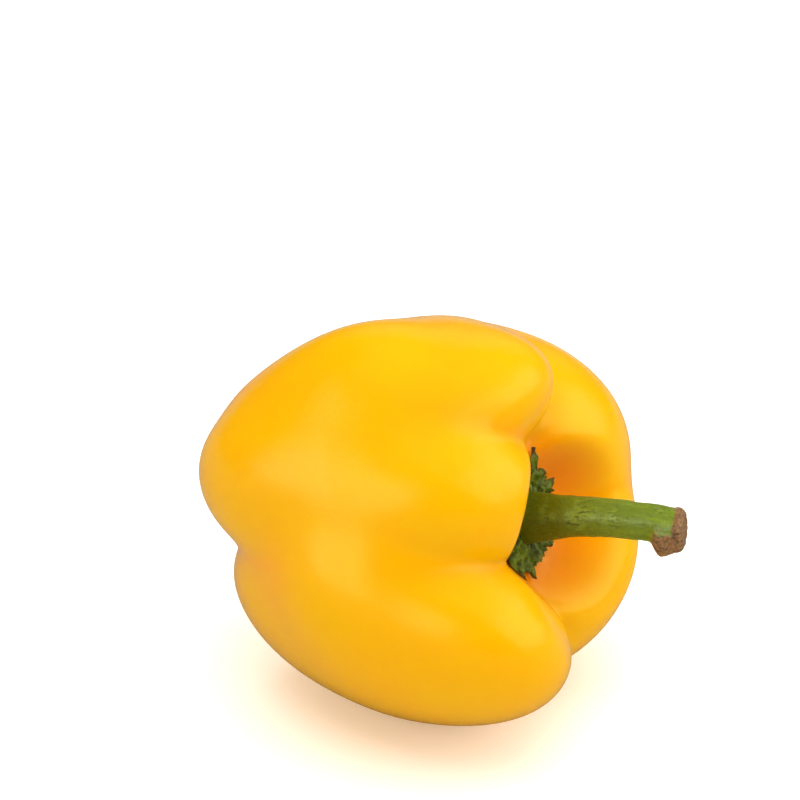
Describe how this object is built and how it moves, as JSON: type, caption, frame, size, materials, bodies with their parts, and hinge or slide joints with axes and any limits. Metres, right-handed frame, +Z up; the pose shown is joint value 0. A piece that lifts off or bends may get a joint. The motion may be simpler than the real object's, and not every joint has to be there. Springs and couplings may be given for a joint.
{
  "type": "bell pepper",
  "caption": "Yellow bell pepper lying on its side: a blocky lobed fruit with a hollow at the stem end, a toothed green calyx and a ribbed, cut stem.",
  "frame": {"origin": "on the table under the middle of the object's bounding box, as the pepper lies on its side", "axes": "+Z up; +X the way the stem points, seen from above (the stem also tilts up by 9.6 degrees); -Y the near side, which shows the widest lobe"},
  "size_m": [0.1102, 0.097, 0.0911],
  "materials": {
    "skin": "waxy, glossy yellow skin",
    "calyx": "dull dark green leaf tissue with paler veins",
    "stem": "satin green stalk with fine ribs and a brown corky cut end"
  },
  "bodies": {
    "root": {"fruit": "skin", "calyx": "calyx", "stem": "stem"}
  },
  "joints": []
}
